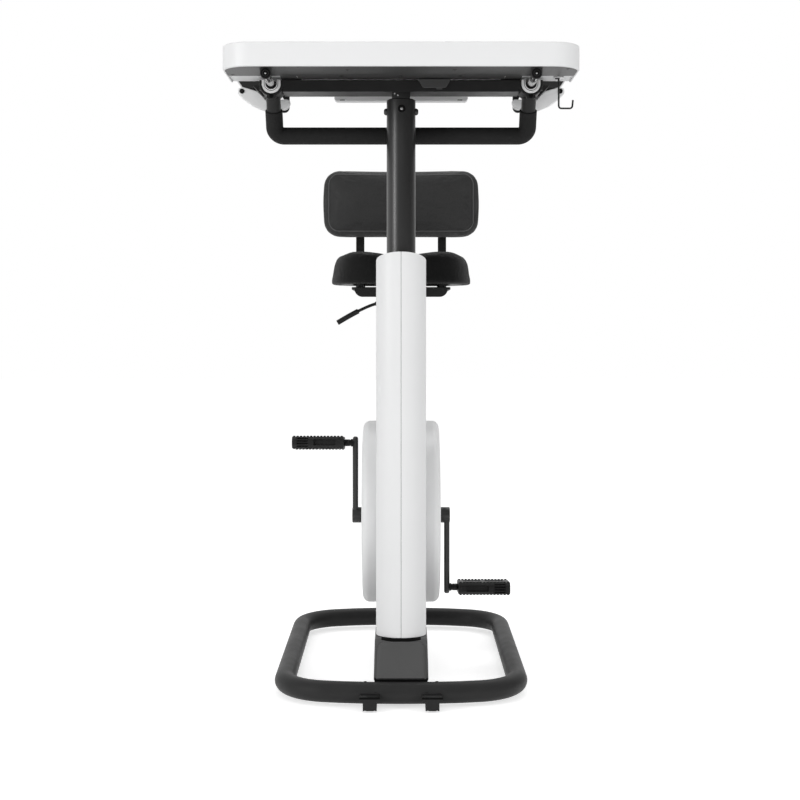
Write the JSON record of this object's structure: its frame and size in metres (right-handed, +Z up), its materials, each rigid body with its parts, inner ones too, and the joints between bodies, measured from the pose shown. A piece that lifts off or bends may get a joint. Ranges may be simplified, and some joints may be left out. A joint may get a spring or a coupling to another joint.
{
  "type": "desk exercise bike",
  "caption": "Pedal bike under a height-adjustable sliding desk, with a padded seat and backrest on a closed tube ring base.",
  "frame": {"origin": "middle of the object's box on the floor", "axes": "+Z up; +Y from the desk end to the rider's seat, so the rider faces -Y; +X to the right when looking along +Y"},
  "size_m": [0.646, 0.834, 1.195],
  "materials": {
    "black_paint": "satin powder coat",
    "mast_paint": "semi-gloss black paint",
    "grey_plate": "satin dark grey paint",
    "dark_cover": "finely grained dark grey plastic",
    "black_plastic": "fine grain",
    "white_shell": "satin white plastic",
    "white_desk": "fine matt white",
    "grip_foam": "closed-cell foam",
    "rubber_pad": "matt rubber",
    "seat_cover": "matt black synthetic leather over foam",
    "steel": "brushed",
    "chrome": "polished",
    "flywheel_iron": "turned and lacquered"
  },
  "bodies": {
    "base": {"base_ring": "black_paint", "base_spine": "black_paint", "foot_cover": "dark_cover", "ring_pad_front_left": "rubber_pad", "ring_pad_front_right": "rubber_pad", "ring_pad_rear_left": "rubber_pad", "ring_pad_rear_right": "rubber_pad", "roller_bracket_left": "black_paint", "roller_bracket_right": "black_paint", "mast_outer_tube": "black_paint", "mast_shell_left": "white_shell", "mast_shell_right": "white_shell", "mast_bush": "black_plastic", "mast_gas_rod": "chrome", "housing_left": "white_shell", "housing_right": "white_shell", "drive_frame": "black_paint", "drive_belt": "rubber_pad", "seat_post_tube": "black_paint", "seat_gas_rod": "chrome"},
    "roller_left": {"transport_roller_left": "rubber_pad"},
    "roller_right": {"transport_roller_right": "rubber_pad"},
    "mast": {"mast_inner_tube": "mast_paint", "mast_gas_cylinder": "steel", "mast_head": "black_paint", "cross_beam": "black_paint", "rod_saddle_left": "steel", "rod_saddle_right": "steel", "rod_liner_left": "black_plastic", "rod_liner_right": "black_plastic", "handlebar": "black_paint", "handlebar_grip": "grip_foam", "lever_bracket_left": "black_paint", "lever_bracket_right": "black_paint"},
    "lever_left": {"side_lever_left": "white_shell"},
    "lever_right": {"side_lever_right": "white_shell"},
    "paddle": {"release_paddle": "black_plastic"},
    "desk": {"desktop": "white_desk", "desk_underside": "grey_plate", "slide_rod_left": "chrome", "slide_rod_right": "chrome", "underside_tray": "white_shell", "bag_hook": "steel"},
    "crank": {"crank_axle": "steel", "crank_arm_left": "black_paint", "crank_arm_right": "black_paint", "drive_pulley": "black_plastic"},
    "left_pedal": {"pedal_left": "black_plastic"},
    "right_pedal": {"pedal_right": "black_plastic"},
    "wheel": {"flywheel": "flywheel_iron"},
    "magnet": {"magnet_arm": "black_paint"},
    "knob": {"resistance_knob": "black_plastic"},
    "seat": {"seat_column": "black_paint", "seat_plate": "black_paint", "seat_pan": "black_plastic", "seat_cushion": "seat_cover", "backrest_yoke": "black_paint", "backrest_shell": "black_plastic", "backrest_cushion": "seat_cover"},
    "seat_handle": {"seat_lever": "black_plastic"}
  },
  "joints": [
    {"name": "mast_slide", "type": "slide", "parent": "base", "child": "mast", "axis": [0, 0, 1], "range_m": [-0.22, 0]},
    {"name": "desk_slide", "type": "slide", "parent": "mast", "child": "desk", "axis": [0, 1, 0], "range_m": [-0.06, 0.09]},
    {"name": "side_lever_left_turn", "type": "hinge", "parent": "mast", "child": "lever_left", "pos_m": [-0.3085, -0.18, 1.1436], "axis": [0, 1, 0], "range_deg": [0, 25]},
    {"name": "side_lever_right_turn", "type": "hinge", "parent": "mast", "child": "lever_right", "pos_m": [0.3085, -0.18, 1.1436], "axis": [0, -1, 0], "range_deg": [0, 25]},
    {"name": "release_paddle_press", "type": "hinge", "parent": "mast", "child": "paddle", "pos_m": [0.062, -0.2863, 1.1446], "axis": [-1, 0, 0], "range_deg": [0, 30], "stiffness_Nm_per_rad": 0.1, "springref_deg": -11.46},
    {"name": "crank_spin", "type": "hinge", "parent": "base", "child": "crank", "pos_m": [0, -0.015, 0.3], "axis": [1, 0, 0], "continuous": true},
    {"name": "pedal_left_spin", "type": "hinge", "parent": "crank", "child": "left_pedal", "pos_m": [-0.1687, -0.015, 0.448], "axis": [1, 0, 0], "continuous": true},
    {"name": "pedal_right_spin", "type": "hinge", "parent": "crank", "child": "right_pedal", "pos_m": [0.1687, -0.015, 0.152], "axis": [1, 0, 0], "continuous": true},
    {"name": "flywheel_spin", "type": "hinge", "parent": "base", "child": "wheel", "pos_m": [0, 0.073, 0.36], "axis": [1, 0, 0], "continuous": true},
    {"name": "resistance_turn", "type": "hinge", "parent": "base", "child": "knob", "pos_m": [0, 0.07162, 0.4719], "axis": [0, 0.4695, 0.8829], "range_deg": [0, 270]},
    {"name": "magnet_swing", "type": "hinge", "parent": "base", "child": "magnet", "pos_m": [0.034, -0.00331, 0.38045], "axis": [1, 0, 0], "range_deg": [0, 4.1]},
    {"name": "seat_slide", "type": "slide", "parent": "base", "child": "seat", "axis": [0, 0, 1], "range_m": [-0.1, 0.07]},
    {"name": "seat_lever_lift", "type": "hinge", "parent": "seat", "child": "seat_handle", "pos_m": [-0.0533, 0.18, 0.7357], "axis": [0, 1, 0], "range_deg": [0, 12], "stiffness_Nm_per_rad": 0.3, "springref_deg": -11.46},
    {"name": "roller_left_spin", "type": "hinge", "parent": "base", "child": "roller_left", "pos_m": [-0.056, -0.399, 0.0115], "axis": [1, 0, 0], "continuous": true},
    {"name": "roller_right_spin", "type": "hinge", "parent": "base", "child": "roller_right", "pos_m": [0.056, -0.399, 0.0115], "axis": [1, 0, 0], "continuous": true}
  ],
  "couplings": [
    {"joint": "flywheel_spin", "follows": "crank_spin", "ratio": 4},
    {"joint": "magnet_swing", "follows": "resistance_turn", "ratio": 0.015}
  ]
}
